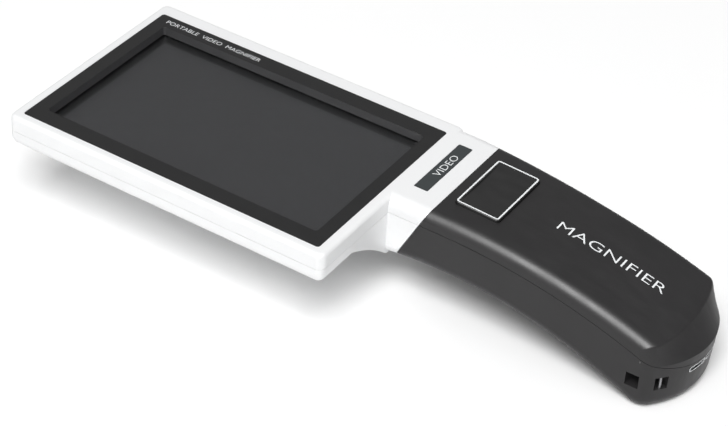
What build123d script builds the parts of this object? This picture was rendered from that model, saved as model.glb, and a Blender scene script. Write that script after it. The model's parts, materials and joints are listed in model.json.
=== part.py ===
"""Hand-held video magnifier: a flat screen head with a camera under it and a curved handle.

Millimetres, +Z up. Everything is drawn from the middle of the screen, at the level of the head's
face, with +X towards the handle and +Y away from the reader. write() then moves each piece to the
part's own origin: the middle of the box round the magnifier, on the page that it stands on.
"""

import os
from math import asin, atan, cos, degrees, sin, sqrt

from build123d import *

os.makedirs("parts", exist_ok=True)

# Screen: a 4.3 inch panel, 16:9, behind a bonded touch glass
PANEL_LENGTH, PANEL_WIDTH, PANEL_DEPTH = 105.4, 65.6, 2.7
GLASS_LENGTH, GLASS_WIDTH, GLASS_DEPTH = 104.6, 65.0, 1.1
GASKET_DEPTH, GASKET_BAND = 0.3, 2.0
OPENING_LENGTH, OPENING_WIDTH, OPENING_CORNER = 100.0, 59.0, 1.2
OPENING_TAPER = 6.0
BEZEL_LENGTH, BEZEL_WIDTH, BEZEL_CORNER = 109.3, 70.9, 1.0
BEZEL_DEPTH, BEZEL_FIT, BEZEL_SINK = 2.8, 0.06, 0.05
TRAY_LENGTH, TRAY_WIDTH, TRAY_DEPTH = 111.0, 66.0, 0.6
TRAY_SLOT_X, TRAY_SLOT_Y, TRAY_SLOT_LENGTH, TRAY_SLOT_WIDTH = 31.5, 15.0, 7.0, 21.0
TRAY_WINDOWS_X, TRAY_WINDOWS_Y = (-34.0, -6.0, 22.0), -18.0
TRAY_WINDOW_LENGTH, TRAY_WINDOW_WIDTH, TRAY_WINDOW_CORNER = 22.0, 9.0, 2.0
TRAY_POST_X, TRAY_POST_Y, TRAY_POST_RADIUS = 54.2, 26.0, 1.4

# Head
HEAD_LEFT, HEAD_RIGHT = -58.0, 58.0
HEAD_NEAR, HEAD_FAR = -38.6, 41.0
HEAD_DEPTH, HEAD_CORNER = 11.0, 2.4
FACE_EDGE, BACK_EDGE = 1.4, 3.2
PARTING = 5.5
WALL = 1.8
SEAM_GAP = 0.16
LIP, LIP_RISE, LIP_FIT = 0.8, 1.4, 0.1

# Neck and handle
HANDLE_NEAR, HANDLE_FAR = -3.2, HEAD_FAR
HANDLE_MIDDLE = (HANDLE_NEAR + HANDLE_FAR) / 2
HANDLE_ROOT = 44.0
HANDLE_END = 157.0
WAIST_START, WAIST_END, WAIST_FAR = 60.0, 118.0, 37.9
WAIST_SHARE = 0.17
GRIP_MIDDLE = (HANDLE_NEAR + WAIST_FAR) / 2
HANDLE_WALL = 2.0
EDGE_START, EDGE_RADIUS = 76.0, 195.0
CROWN_START, CROWN_RADIUS = 70.0, 262.0
ARCH_APEX, ARCH_DEPTH, ARCH_RADIUS = 77.0, 20.4, 143.0
STAND_HEIGHT = 36.5
HEEL_BLEND = 7.0
SEAM_X, SEAM_SLOPE = 71.5, 0.5
SHOULDER_EDGE, UNDER_EDGE, END_EDGE, CORNER_EDGE = 3.5, 4.0, 1.0, 6.0

# Handle's end: rounded in plan, with a sloping face over the port band and a drawn-in foot
END_CORNER, END_ROOT, SLOPE_ROOT = 146.8, 128.0, 140.5
BREAK_LEVEL, SLOPE_LEVEL, FOOT_LEVEL = -20.0, -9.0, -38.0
SLOPE_SETBACK, FOOT_SETBACK = 9.3, 1.5
END_WALL = 4.0

# Belly: the thick spine under the head that runs into the neck
BELLY_DEPTH, BELLY_TOP = 21.6, -6.5
BELLY_SKIRT, BELLY_SHOULDER = (-26.0, -7.2), (-2.6, -21.6)
BELLY_BOW = 1.2
BELLY_RAMP_TOP, BELLY_RAMP_FOOT = (-46.0, -7.0), (-24.0, -21.6)
BELLY_EDGE = 2.6
FLANK_INNER, FLANK_INNER_FOOT = (-24.4, -4.65), (0.2, -19.8)
RAMP_INNER, RAMP_INNER_FOOT = (-44.9, -5.3), (-23.1, -19.8)

# Tongue of the rear housing that the handle is screwed to
TONGUE_LEFT, TONGUE_RIGHT, TONGUE_NEAR, TONGUE_FAR = 52.0, 73.0, 2.0, 36.0
TONGUE_TOP, TONGUE_DEPTH, TONGUE_FOOT = -14.6, 2.0, 4.0
TONGUE_POST_RADIUS, TONGUE_POST_BASE = 2.4, -18.35

# Main board and its parts
BOARD_LEFT, BOARD_RIGHT, BOARD_NEAR, BOARD_FAR = -20.0, 54.0, -9.0, 34.5
BOARD_TOP, BOARD_DEPTH = -9.6, 1.2
BOARD_POSTS = [(-16.0, -5.0), (-16.0, 31.0), (50.0, -5.0), (50.0, 31.0)]
BOARD_POST_RADIUS = 2.2
RIBBON = 0.2
CHIP_HEIGHT, CHIP_CORNER, CHIP_LEFT, CHIP_RIGHT = 0.9, 0.2, -7.0, 9.0
PROCESSOR_Y, PROCESSOR_SIZE = 20.0, 13.0
MEMORY_Y, MEMORY_LENGTH, MEMORY_WIDTH = 6.0, 11.0, 8.0
POWER_Y, POWER_SIZE, SOUND_Y, SOUND_SIZE = 24.0, 8.0, 9.0, 5.0
CAN_X, CAN_Y, CAN_LENGTH, CAN_WIDTH, CAN_DEPTH = 36.0, 17.0, 20.0, 18.0, 2.4
CAN_SHEET, CAN_CORNER = 0.3, 1.0
SOCKET_HEIGHT, SOCKET_DEPTH = 1.7, 4.0
DISPLAY_SOCKET_X, DISPLAY_SOCKET_WIDTH = 38.0, 20.0
HANDLE_SOCKET_X, HANDLE_SOCKET_WIDTH, HANDLE_RIBBON_Y = 51.5, 12.0, 17.0
CAMERA_SOCKET_LENGTH = 10.0
DISPLAY_RIBBON_X, DISPLAY_RIBBON_WIDTH, DISPLAY_RIBBON_LIFT = 29.6, 18.0, 1.2
HANDLE_RIBBON_END, HANDLE_RIBBON_WIDTH, HANDLE_RIBBON_LEVEL = 74.0, 10.0, -8.75

# Camera, light and window
CAMERA_X, CAMERA_Y = 4.0, 15.5
CAMERA_BOARD_SIZE, CAMERA_BOARD_TOP, CAMERA_BOARD_DEPTH = 14.0, -11.6, 0.8
SENSOR_LENGTH, SENSOR_WIDTH, SENSOR_DEPTH = 6.0, 5.0, 0.8
MOUNT_SIZE, MOUNT_DEPTH, MOUNT_CHAMBER = 11.0, 3.4, 7.0
BARREL_RADIUS, BARREL_TOP, BARREL_DEPTH = 4.0, -13.6, 4.8
LENS_RADIUS, LENS_TOP, LENS_EDGE, LENS_BULGE = 2.9, -16.6, 0.8, 0.4
LIGHT_OUTER, LIGHT_INNER, LIGHT_TOP, LIGHT_DEPTH = 15.2, 5.4, -17.4, 1.0
LIGHT_COUNT, LIGHT_CIRCLE = 6, 8.6
LIGHT_PAD_RADIUS, LIGHT_PAD_CIRCLE = 1.2, 14.3
WINDOW_RADIUS, WINDOW_DEPTH, WINDOW_HOLE, WINDOW_FIT = 13.0, 1.2, 12.0, 0.05

# Hood that holds the camera at its reading distance
HOOD_TOP_LENGTH, HOOD_TOP_WIDTH, HOOD_TOP_CORNER = 40.0, 33.0, 9.0
HOOD_LENGTH, HOOD_WIDTH, HOOD_CORNER = 46.0, 39.0, 11.0
HOOD_WALL, HOOD_PLATE, HOOD_HOLE = 1.7, 1.6, 12.6
GLIDE_DEPTH, GLIDE_EDGE = 1.0, 0.3
HOOD_SCREW_X, HOOD_SCREW_Y = 14.0, 10.6

# Power button, drawn level and then seated on the sloping handle
BUTTON_X, BUTTON_Y = 82.4, 19.0
BUTTON_LENGTH, BUTTON_WIDTH, BUTTON_CORNER = 15.2, 25.6, 1.3
BUTTON_RISE, BUTTON_TRAVEL, BUTTON_FIT, BUTTON_EDGE = 0.95, 0.6, 0.12, 0.25
BUTTON_WALL, BUTTON_ROOF = 1.4, 1.55
WELL_DEPTH, WELL_WALL = 2.6, 1.8
FLANGE_TOP, FLANGE_REACH, FLANGE_DEPTH = -2.7, 1.0, 0.8
OUTLINE_INSET, OUTLINE_WIDTH, OUTLINE_DEPTH = 0.35, 0.5, 0.4
DISH_DEPTH, DISH_MARGIN = 0.45, 1.05
SWITCH_SIZE, SWITCH_TOP, SWITCH_BASE = 6.0, -4.9, -8.3
PLUNGER_RADIUS, PLUNGER_TOP, PLUNGER_DEPTH, PLUNGER_FIT = 1.6, -4.5, 1.5, 0.1
BUTTON_BOARD_LENGTH, BUTTON_BOARD_WIDTH, BUTTON_BOARD_DEPTH = 15.0, 35.0, 1.0
BUTTON_POST_Y, BUTTON_POST_RADIUS = 15.7, 1.7

# Plate beside the button
LABEL_X, LABEL_Y = 63.1, 19.3
LABEL_LENGTH, LABEL_WIDTH, LABEL_DEPTH = 4.8, 26.3, 0.8
LABEL_CORNER, LABEL_FIT = 0.45, 0.05

# Battery and its cover
BATTERY_X, BATTERY_Z, BATTERY_TILT = 118.0, -15.6, 14.0
BATTERY_LENGTH, BATTERY_WIDTH, BATTERY_DEPTH, BATTERY_EDGE = 43.0, 32.0, 10.6, 2.4
COVER_START, COVER_END = 97.0, 133.0
COVER_WIDTH, COVER_DEPTH, COVER_FIT = 28.0, 1.6, 0.25
TAB_REACH, TAB_ROOT, TAB_WIDTH, TAB_OFFSET = 2.4, 1.5, 5.0, 8.0
TAB_LOW, TAB_HIGH = 2.06, 3.0
CATCH_X, CATCH_DEPTH, CATCH_HALF, CATCH_HIGH = 131.2, 1.0, 4.0, 4.2
THUMB_X, THUMB_RADIUS, THUMB_DEPTH = 128.0, 9.0, 0.7
CONTACT_X, CONTACT_WIDTH, CONTACT_DEPTH, CONTACT_PITCH = 94.6, 2.2, 0.3, 3.6

# Ports and strap eyelet
CHARGING_Y, VIDEO_Y = 12.6, 20.4
PORT_WIDTH, PORT_HEIGHT, PORT_BACK, PORT_SHELL = 7.2, 1.9, 147.0, 0.3
PORT_LEVEL, PORT_FIT, PORT_CORNER = -25.3, 0.08, 0.7
PORT_TONGUE_HALF, PORT_TONGUE_THICK, PORT_TONGUE_END = 2.4, 0.5, 153.2
PORT_BOARD_LEFT, PORT_BOARD_RIGHT, PORT_BOARD_NEAR, PORT_BOARD_FAR = 145.4, 149.6, 7.5, 26.5
PORT_BOARD_DEPTH = 1.0
PORT_SHELF_X, PORT_SHELF_Y, PORT_SHELF_RADIUS = 147.5, (9.6, 24.4), 1.6
PORT_RIBBON_START, PORT_RIBBON_RISE, PORT_RIBBON_END = 90.1, 93.0, 146.4
PORT_RIBBON_NEAR, PORT_RIBBON_FAR, PORT_RIBBON_LEAD = 20.5, 26.5, -9.1
EYELET_X, EYELET_Y = 147.4, -2.6
EYELET_INNER, EYELET_OUTER, EYELET_WALL = 2.4, 6.6, 1.4
EYELET_TOP, EYELET_HEIGHT = -24.6, 4.6
PIN_X, PIN_Y, PIN_RADIUS = 149.9, 1.3, 0.45
PIN_BITE = 0.8

# Screws
SCREW_RADIUS, SCREW_HEAD_RADIUS, SCREW_HEAD = 0.9, 1.7, 1.0
SCREW_FIT, SCREW_PASS, SCREW_WELL = 0.02, 0.12, 0.3
TINY_RADIUS, TINY_HEAD_RADIUS, TINY_HEAD = 0.6, 1.1, 0.6
HEAD_SCREWS = [(-52.0, 37.6), (-2.0, 37.6), (46.0, 37.6)]
HEAD_SCREW_LEVEL, HEAD_POST_RADIUS, FACE_POST_RADIUS = -9.0, 2.8, 2.0
NECK_SCREWS = [(68.0, 8.0), (68.0, 30.0)]
GRIP_SCREWS = [(93.2, 5.0), (93.2, 33.0), (142.6, 16.9)]
GRIP_POST_RADIUS = 2.3

# Reach of the blocks that only cut: sideways, below and above everything, and past the end
FAR_AWAY, DEEP, HIGH, BEYOND = 300.0, -60.0, 20.0, 8.0
MIDDLE_X = (HEAD_LEFT + HANDLE_END) / 2
MIDDLE_Y = (HEAD_NEAR + HEAD_FAR) / 2
TO_ORIGIN = Location((-MIDDLE_X, -MIDDLE_Y, STAND_HEIGHT))


# ---- helpers ---------------------------------------------------------------------------------


def block(x0, x1, y0, y1, z0, z1):
    """Box between two corners."""
    size = Box(x1 - x0, y1 - y0, z1 - z0)
    return Pos((x0 + x1) / 2, (y0 + y1) / 2, (z0 + z1) / 2) * size


def slab(length, width, corner, top, depth, x=0.0, y=0.0):
    """Flat plate with rounded corners, from its top face down."""
    outline = Pos(x, y, top - depth) * RectangleRounded(length, width, corner)
    return extrude(outline, depth)


def post(radius, top, depth, x, y):
    """Upright cylinder, from its top face down."""
    return Pos(x, y, top - depth / 2) * Cylinder(radius, depth)


def merge(pieces):
    """One shape from a list of shapes."""
    whole = pieces[0]
    for piece in pieces[1:]:
        whole = whole + piece
    return whole


def arc_drop(x, start, radius):
    """How far an arc that leaves a level line at start has dropped at x."""
    return radius - sqrt(radius**2 - (x - start) ** 2)


def falling_arc(x0, x1, start, radius, level):
    """Arc in X and Z between x0 and x1, level over start and falling away from it."""
    points = [(x, level - arc_drop(x, start, radius)) for x in (x0, (x0 + x1) / 2, x1)]
    return ThreePointArc(*points)


def side_view(outline, near=-FAR_AWAY, far=FAR_AWAY):
    """Solid whose outline is drawn in X and Z, from near to far in Y."""
    drawn = Pos(0, far, 0) * (Plane.XZ * outline)
    return extrude(drawn, far - near, dir=(0, -1, 0))


def closed(edges):
    """Face inside a loop of edges."""
    return make_face(Curve() + edges)


def border(faces):
    """Edges that only one of these faces has: the rim round all of them."""
    every = [edge for face in faces for edge in face.edges()]
    return [edge for edge in every if sum(edge == other for other in every) == 1]


# ---- outer forms -----------------------------------------------------------------------------


def head_form():
    """Head as one block with rounded edges."""
    form = slab(HEAD_RIGHT - HEAD_LEFT, HEAD_FAR - HEAD_NEAR, HEAD_CORNER, 0, HEAD_DEPTH,
                (HEAD_LEFT + HEAD_RIGHT) / 2, MIDDLE_Y)
    form = fillet(form.faces().sort_by(Axis.Z)[-1].edges(), FACE_EDGE)
    return fillet(form.faces().sort_by(Axis.Z)[0].edges(), BACK_EDGE)


def top_section(start, radius, y):
    """Outline under the handle's top at one place across it: level, then an arc."""
    tip = HANDLE_END + BEYOND
    fall = falling_arc(start, tip, start, radius, 0)
    rest = Polyline(fall @ 1, (tip, DEEP), (HANDLE_ROOT, DEEP), (HANDLE_ROOT, 0), (start, 0))
    return Pos(0, y, 0) * (Plane.XZ * closed([fall, rest]))


def crowned_block():
    """Block under the handle's top, which is a little higher along its middle."""
    return loft([
        top_section(EDGE_START, EDGE_RADIUS, HANDLE_NEAR),
        top_section(CROWN_START, CROWN_RADIUS, HANDLE_MIDDLE),
        top_section(EDGE_START, EDGE_RADIUS, HANDLE_FAR),
    ])


def above_arch(lift=0.0):
    """Everything over the handle's arched underside, or over a surface inside it."""
    heel_level = -STAND_HEIGHT + lift
    belly_level = -BELLY_DEPTH + lift
    radius = ARCH_RADIUS + lift
    reach = sqrt(radius**2 - (radius + ARCH_DEPTH - STAND_HEIGHT) ** 2)
    root = sqrt(radius**2 - (radius + ARCH_DEPTH - BELLY_DEPTH) ** 2)
    heel, start = ARCH_APEX + reach, ARCH_APEX - root
    arch = falling_arc(start, heel, ARCH_APEX, radius, lift - ARCH_DEPTH)
    rest = Polyline(arch @ 1, (FAR_AWAY, heel_level), (FAR_AWAY, HIGH), (HANDLE_ROOT, HIGH),
                    (HANDLE_ROOT, belly_level), arch @ 0)
    outline = closed([arch, rest])
    corner = outline.vertices().sort_by_distance((heel, heel_level, 0))[0]
    return side_view(fillet(corner, HEEL_BLEND))


def waist_plan(inset=0.0):
    """Handle's outline from above without its end: the far side draws in beyond the neck."""
    run, fall = WAIST_END - WAIST_START, HANDLE_FAR - WAIST_FAR
    radii = (run**2 + fall**2) / (2 * fall)
    turn = asin(run / radii)
    outward, inward = WAIST_SHARE * radii - inset, (1 - WAIST_SHARE) * radii + inset
    first_y, last_y = HANDLE_FAR - inset - outward, WAIST_FAR - inset + inward

    def leaving(angle):
        return (WAIST_START + outward * sin(angle), first_y + outward * cos(angle))

    def arriving(angle):
        return (WAIST_END - inward * sin(angle), last_y - inward * cos(angle))

    first = ThreePointArc(leaving(0), leaving(turn / 2), leaving(turn))
    last = ThreePointArc(first @ 1, arriving(turn / 2), arriving(0))
    tip, near = HANDLE_END + BEYOND, HANDLE_NEAR + inset
    rest = Polyline(last @ 1, (tip, WAIST_FAR - inset), (tip, near), (HANDLE_ROOT, near),
                    (HANDLE_ROOT, HANDLE_FAR - inset), first @ 0)
    return closed([first, last, rest])


def end_plan(apex, inset=0.0):
    """Outline of the handle's end from above: straight sides and one arc across them."""
    near, far, corner = HANDLE_NEAR + inset, WAIST_FAR - inset, END_CORNER - inset
    bow = ThreePointArc((corner, near), (apex, GRIP_MIDDLE), (corner, far))
    return closed([bow, Polyline(bow @ 1, (END_ROOT, far), (END_ROOT, near), bow @ 0)])


def end_form():
    """Space that the handle's end stays inside."""
    at_break = Pos(0, 0, BREAK_LEVEL) * end_plan(HANDLE_END)
    at_slope = Pos(0, 0, SLOPE_LEVEL) * end_plan(HANDLE_END - SLOPE_SETBACK)
    at_foot = Pos(0, 0, FOOT_LEVEL) * end_plan(HANDLE_END - FOOT_SETBACK)
    low, high = loft([at_foot, at_break], ruled=True), loft([at_break, at_slope], ruled=True)
    root = block(HANDLE_ROOT, END_ROOT, HANDLE_NEAR, HANDLE_FAR, FOOT_LEVEL, FAR_AWAY)
    top = block(HANDLE_ROOT, SLOPE_ROOT, HANDLE_NEAR, HANDLE_FAR, SLOPE_LEVEL, FAR_AWAY)
    form = low + high + root + top
    corners = [edge for edge in form.edges() if edge.bounding_box().size.Z > CORNER_EDGE
               and abs(edge.center().X - END_CORNER) < 0.01]
    return fillet(corners, CORNER_EDGE)


def handle_form():
    """Neck and handle as one block, from inside the head to the end."""
    outline = extrude(Pos(0, 0, DEEP) * waist_plan(), HIGH - DEEP)
    form = crowned_block() & above_arch() & outline
    tops = [face for face in form.faces() if face.normal_at(face.center()).Z > 0.9]
    shoulders = [edge for edge in border(tops) if edge.bounding_box().size.X > 3]
    form = fillet(shoulders, SHOULDER_EDGE) & end_form()
    upward = [face for face in form.faces()
              if face.normal_at(face.center()).Z > 0.3 and face.center().Z > -12.9]
    tip = [edge for edge in border(upward) if edge.bounding_box().min.X > HANDLE_ROOT + 90]
    form = fillet(tip, END_EDGE)
    downward = [face for face in form.faces()
                if face.normal_at(face.center()).Z < -0.4 and face.center().Z < -ARCH_DEPTH]
    under = [edge for edge in border(downward) if edge.bounding_box().max.X > HANDLE_ROOT + 1]
    return fillet(under, UNDER_EDGE)


def belly_form():
    """Spine under the head: a sloping flank towards the reader and a ramp at its left end."""
    (y0, z0), (y1, z1) = BELLY_SKIRT, BELLY_SHOULDER
    bow = ((y0 + y1) / 2 + BELLY_BOW / 2, (z0 + z1) / 2 + BELLY_BOW)
    flank = ThreePointArc(BELLY_SKIRT, bow, BELLY_SHOULDER)
    rest = Polyline(flank @ 1, (HEAD_FAR, -BELLY_DEPTH), (HEAD_FAR, BELLY_TOP),
                    (y0, BELLY_TOP), flank @ 0)
    across = Pos(BELLY_RAMP_TOP[0], 0, 0) * (Plane.YZ * closed([flank, rest]))
    form = extrude(across, HEAD_RIGHT - BELLY_RAMP_TOP[0], dir=(1, 0, 0))
    ramp = Polygon(BELLY_RAMP_TOP, BELLY_RAMP_FOOT, (HEAD_RIGHT, -BELLY_DEPTH - 1),
                   (HEAD_RIGHT, 0), (BELLY_RAMP_TOP[0], 0), align=None)
    form = form & side_view(ramp)
    bottom = form.faces().sort_by(Axis.Z)[0]
    rim = [edge for edge in bottom.edges() if edge.center().X < HEAD_RIGHT - 1]
    return fillet(rim, BELLY_EDGE)


def beyond_seam(gap):
    """Everything on the handle's side of the slanting joint between neck and handle."""
    outline = Polygon((SEAM_X + SEAM_SLOPE * HIGH + gap, HIGH), (FAR_AWAY, HIGH), (FAR_AWAY, DEEP),
                      (SEAM_X + SEAM_SLOPE * DEEP + gap, DEEP), align=None)
    return side_view(outline)


def below_parting(gap):
    """Everything under the joint between the handle's two shells."""
    depth = PARTING + gap
    tip = HANDLE_END + BEYOND
    fall = falling_arc(EDGE_START, tip, EDGE_START, EDGE_RADIUS - depth, -depth)
    rest = Polyline(fall @ 1, (tip, DEEP), (HANDLE_ROOT, DEEP), (HANDLE_ROOT, -depth),
                    (EDGE_START, -depth))
    return side_view(closed([fall, rest]))


# ---- hollows ---------------------------------------------------------------------------------


def head_hollow(grow=0.0, top=-WALL, base=WALL - HEAD_DEPTH):
    """Space inside the head's walls."""
    length = HEAD_RIGHT - HEAD_LEFT - 2 * WALL + 2 * grow
    width = HEAD_FAR - HEAD_NEAR - 2 * WALL + 2 * grow
    return slab(length, width, HEAD_CORNER - WALL + grow, top, top - base, 0, MIDDLE_Y)


def belly_hollow():
    """Space inside the belly."""
    inner_far = HEAD_FAR - WALL
    across = Polygon(FLANK_INNER, FLANK_INNER_FOOT, (inner_far, FLANK_INNER_FOOT[1]),
                     (inner_far, FLANK_INNER[1]), align=None)
    form = extrude(Pos(RAMP_INNER[0], 0, 0) * (Plane.YZ * across),
                   HEAD_RIGHT - WALL - RAMP_INNER[0], dir=(1, 0, 0))
    ramp = Polygon(RAMP_INNER, RAMP_INNER_FOOT, (HEAD_RIGHT, RAMP_INNER_FOOT[1]),
                   (HEAD_RIGHT, RAMP_INNER[1]), align=None)
    return form & side_view(ramp)


def handle_hollow():
    """Space inside the neck and the handle."""
    tip = HANDLE_END + BEYOND
    fall = falling_arc(EDGE_START, tip, EDGE_START, EDGE_RADIUS - HANDLE_WALL, -HANDLE_WALL)
    start = HANDLE_ROOT + 6
    rest = Polyline(fall @ 1, (tip, DEEP), (start, DEEP), (start, -HANDLE_WALL),
                    (EDGE_START, -HANDLE_WALL))
    end = end_plan(HANDLE_END - END_WALL, HANDLE_WALL)
    inside = extrude(Pos(0, 0, DEEP) * end, HIGH - DEEP)
    inside += block(HANDLE_ROOT, END_ROOT, HANDLE_NEAR, HANDLE_FAR, DEEP, HIGH)
    inside = inside & extrude(Pos(0, 0, DEEP) * waist_plan(HANDLE_WALL), HIGH - DEEP)
    return side_view(closed([fall, rest])) & above_arch(HANDLE_WALL) & inside


# ---- screws ----------------------------------------------------------------------------------


def screw(x, y, seat, tip, radius=SCREW_RADIUS, head_radius=SCREW_HEAD_RADIUS, head=SCREW_HEAD):
    """Cross-head screw whose head bears on seat and whose shank ends at tip."""
    way = 1 if tip > seat else -1
    head_middle, shank_middle = seat - way * head / 2, (seat + tip) / 2
    cap = Pos(x, y, head_middle) * Cylinder(head_radius, head)
    outer = cap.faces().sort_by(Axis.Z)[0 if way > 0 else -1]
    cap = fillet(outer.edges(), head * 0.35)
    shank = Pos(x, y, shank_middle) * Cylinder(radius, abs(tip - seat))
    slot = head_radius * 1.1
    face = seat - way * head
    cross = Box(slot, 0.35, head) + Box(0.35, slot, head)
    return cap + shank - Pos(x, y, face) * cross


def screws(places, seat, tip):
    """A group of the same screw at several places."""
    return [screw(x, y, seat, tip) for x, y in places]


# ---- head ------------------------------------------------------------------------------------


def white_form():
    """Head, belly and neck as one block."""
    return head_form() + belly_form() + (handle_form() - beyond_seam(-SEAM_GAP / 2))


def white_shell():
    """Head, belly and neck with their inside taken out."""
    return white_form() - head_hollow() - belly_hollow() - handle_hollow()


def above_level(level):
    """Everything over a level."""
    return block(-FAR_AWAY, FAR_AWAY, -FAR_AWAY, FAR_AWAY, level, FAR_AWAY)


def front_housing():
    """Upper white shell: the frame round the screen and the top of the neck."""
    split = -PARTING + SEAM_GAP / 2
    shell = white_shell() & above_level(split)
    posts = [post(FACE_POST_RADIUS, 0.3 - WALL, 0.3 - WALL - split, x, y) for x, y in HEAD_SCREWS]
    shell = merge([shell] + [p & white_form() for p in posts])
    pilots = [post(SCREW_RADIUS + SCREW_FIT, split + 3.0, 4.0, x, y) for x, y in HEAD_SCREWS]
    window = slab(BEZEL_LENGTH, BEZEL_WIDTH, BEZEL_CORNER, 1, 1 + WALL + 0.5)
    groove_top = -PARTING + LIP_RISE + LIP_FIT
    groove = head_hollow(LIP + LIP_FIT, groove_top, -PARTING - 1)
    pocket = slab(LABEL_LENGTH + 2 * LABEL_FIT, LABEL_WIDTH + 2 * LABEL_FIT, LABEL_CORNER, 1,
                  1 + LABEL_DEPTH, LABEL_X, LABEL_Y)
    keep = merge([post(FACE_POST_RADIUS, 0, HEAD_DEPTH, x, y) for x, y in HEAD_SCREWS])
    return shell - window - (groove - keep) - pocket - merge(pilots)


def rear_housing():
    """Lower white shell: back of the head, belly, floor of the neck and the handle's tongue."""
    split = -PARTING - SEAM_GAP / 2
    form = white_form()
    shell = white_shell() - above_level(split)
    lip = head_hollow(LIP, -PARTING + LIP_RISE, -PARTING - 1) - head_hollow(0, 0, -HEAD_DEPTH)
    keep_out = merge([post(FACE_POST_RADIUS + 0.2, 0, HEAD_DEPTH, x, y) for x, y in HEAD_SCREWS])
    shell = shell + (lip - handle_hollow() - keep_out)
    base = -BELLY_DEPTH
    posts = [post(HEAD_POST_RADIUS, split, split - base, x, y) for x, y in HEAD_SCREWS]
    posts += [post(BOARD_POST_RADIUS, BOARD_TOP - BOARD_DEPTH, BOARD_TOP - BOARD_DEPTH - base, x, y)
              for x, y in BOARD_POSTS]
    inner = WALL - BELLY_DEPTH
    for turn in range(3):
        spot = Location((CAMERA_X, CAMERA_Y, 0), (0, 0, 90 + 120 * turn))
        pad = spot * Pos(LIGHT_PAD_CIRCLE, 0, 0) * post(
            LIGHT_PAD_RADIUS, LIGHT_TOP - LIGHT_DEPTH, LIGHT_TOP - LIGHT_DEPTH - base, 0, 0)
        posts.append(pad)
    posts += [post(SCREW_RADIUS + 1.0, inner + 1.9, 1.9 + WALL, x, y) for x, y in hood_screws()]
    shell = merge([shell] + [p & form for p in posts])
    tongue = block(TONGUE_LEFT, TONGUE_RIGHT, TONGUE_NEAR, TONGUE_FAR,
                   TONGUE_TOP - TONGUE_DEPTH, TONGUE_TOP)
    tongue += block(TONGUE_LEFT, TONGUE_LEFT + TONGUE_FOOT, TONGUE_NEAR, TONGUE_FAR,
                    inner - 0.5, TONGUE_TOP)
    tongue += merge([post(TONGUE_POST_RADIUS, TONGUE_TOP, TONGUE_TOP - TONGUE_POST_BASE, x, y)
                     for x, y in NECK_SCREWS])
    shell = shell + tongue
    cuts = [post(SCREW_HEAD_RADIUS + SCREW_WELL, HEAD_SCREW_LEVEL, HEAD_DEPTH * 2, x, y)
            for x, y in HEAD_SCREWS]
    cuts += [post(SCREW_RADIUS + SCREW_PASS, 0, HEAD_DEPTH, x, y) for x, y in HEAD_SCREWS]
    cuts += [post(SCREW_RADIUS + SCREW_FIT, BOARD_TOP, 6.0, x, y) for x, y in BOARD_POSTS]
    cuts += [post(SCREW_RADIUS + SCREW_FIT, TONGUE_TOP + 1, 6.0, x, y) for x, y in NECK_SCREWS]
    cuts += [post(SCREW_RADIUS + SCREW_FIT, inner + 1.5, 6.0, x, y) for x, y in hood_screws()]
    cuts.append(post(WINDOW_HOLE, 0, 2 * BELLY_DEPTH, CAMERA_X, CAMERA_Y)
                - above_level(inner))
    cuts.append(post(WINDOW_RADIUS + WINDOW_FIT, inner, WINDOW_DEPTH, CAMERA_X, CAMERA_Y))
    return shell - merge(cuts)


def bezel_opening():
    """Opening of the bezel, a little narrower at the glass."""
    outline = Pos(0, 0, 1) * RectangleRounded(OPENING_LENGTH + 0.2, OPENING_WIDTH + 0.2,
                                              OPENING_CORNER)
    return extrude(outline, -(BEZEL_DEPTH + 1.5), taper=OPENING_TAPER)


def screen_bezel():
    """Black frame round the screen, held from inside by its flange, with the tray's posts."""
    body = slab(BEZEL_LENGTH - 2 * BEZEL_FIT, BEZEL_WIDTH - 2 * BEZEL_FIT, BEZEL_CORNER,
                -BEZEL_SINK, BEZEL_DEPTH - BEZEL_SINK)
    near, far = HEAD_NEAR + WALL + 0.2, HEAD_FAR - WALL - 2.8
    flange = slab(HEAD_RIGHT - HEAD_LEFT - 2 * WALL - 0.6, far - near, 1.0, -WALL - BEZEL_FIT,
                  BEZEL_DEPTH - WALL - BEZEL_FIT, 0, (near + far) / 2)
    notches = [post(FACE_POST_RADIUS + 0.2, 0, 5, x, y) for x, y in HEAD_SCREWS]
    body = body + (flange - merge(notches)) - bezel_opening()
    glass_base = BEZEL_DEPTH + GASKET_DEPTH + GLASS_DEPTH + PANEL_DEPTH
    for x, y in tray_posts():
        body += post(TRAY_POST_RADIUS, -BEZEL_DEPTH + 0.3, glass_base - BEZEL_DEPTH + 0.3, x, y)
        body -= post(TINY_RADIUS + SCREW_FIT, -glass_base + 3.0, 4.0, x, y)
    return body


def tray_posts():
    """Places of the posts that the display tray is screwed to."""
    return [(x, y) for x in (-TRAY_POST_X, TRAY_POST_X) for y in (-TRAY_POST_Y, TRAY_POST_Y)]


def display_gasket():
    """Adhesive foam frame between the bezel and the glass."""
    frame = slab(GLASS_LENGTH, GLASS_WIDTH, 1.5, -BEZEL_DEPTH, GASKET_DEPTH)
    hole = slab(GLASS_LENGTH - 2 * GASKET_BAND, GLASS_WIDTH - 2 * GASKET_BAND, 1.0, 0, 10)
    return frame - hole


def touch_glass():
    """Touch glass over the display."""
    return slab(GLASS_LENGTH, GLASS_WIDTH, 1.5, -BEZEL_DEPTH - GASKET_DEPTH, GLASS_DEPTH)


def panel_top():
    """Level of the display panel's face."""
    return -BEZEL_DEPTH - GASKET_DEPTH - GLASS_DEPTH


def display_panel():
    """Display panel with its backlight."""
    return slab(PANEL_LENGTH, PANEL_WIDTH, 0.6, panel_top(), PANEL_DEPTH)


def tray_top():
    """Level of the display tray's upper face."""
    return panel_top() - PANEL_DEPTH


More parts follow.
